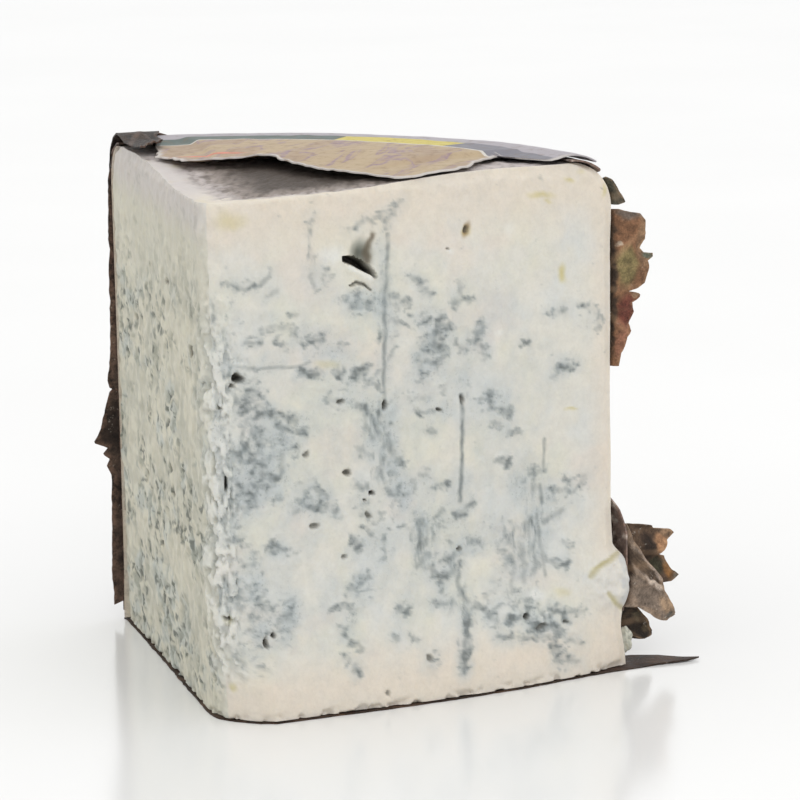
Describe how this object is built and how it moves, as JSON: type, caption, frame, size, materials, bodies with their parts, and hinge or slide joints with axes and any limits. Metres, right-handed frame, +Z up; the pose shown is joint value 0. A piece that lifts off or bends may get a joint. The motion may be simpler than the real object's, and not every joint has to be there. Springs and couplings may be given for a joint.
{
  "type": "blue cheese wedge",
  "caption": "Wedge of leaf-wrapped blue cheese with crumbly cut faces, veins, eyes, torn leaf edges standing off the rim and a torn paper label on top.",
  "frame": {"origin": "on the surface that the wedge stands on, under the middle of the wedge, on the plane that halves it from tip to rim", "axes": "+Z up, -Y towards the tip of the wedge, +Y towards its leaf-covered rim, +X towards the cut face with the large eye"},
  "size_m": [0.1278, 0.0929, 0.1036],
  "materials": {
    "cheese": "ivory paste with blue-grey mould, moist and slightly crumbly",
    "leaf": "dark brown cured leaf with pinkish veins, slightly glossy",
    "leaf_brown": "brown cured leaf, crinkled",
    "leaf_tan": "dry tan to olive leaf, torn",
    "label": "satin printed paper, stained, with plain fields of colour"
  },
  "bodies": {
    "root": {"cheese": "cheese", "label": "label", "base_leaf": "leaf_brown", "wrap_leaf_left": "leaf", "wrap_leaf_right": "leaf", "edge_leaf": "leaf", "corner_leaf": "leaf", "wrap_leaf_middle": "leaf_brown", "torn_leaf_left": "leaf_brown", "torn_leaf_right": "leaf_brown", "flap_upper": "leaf_tan", "flap_notch": "leaf_tan", "flap_tan": "leaf_tan", "flap_middle": "leaf_tan", "flap_dark": "leaf_tan"}
  },
  "joints": []
}
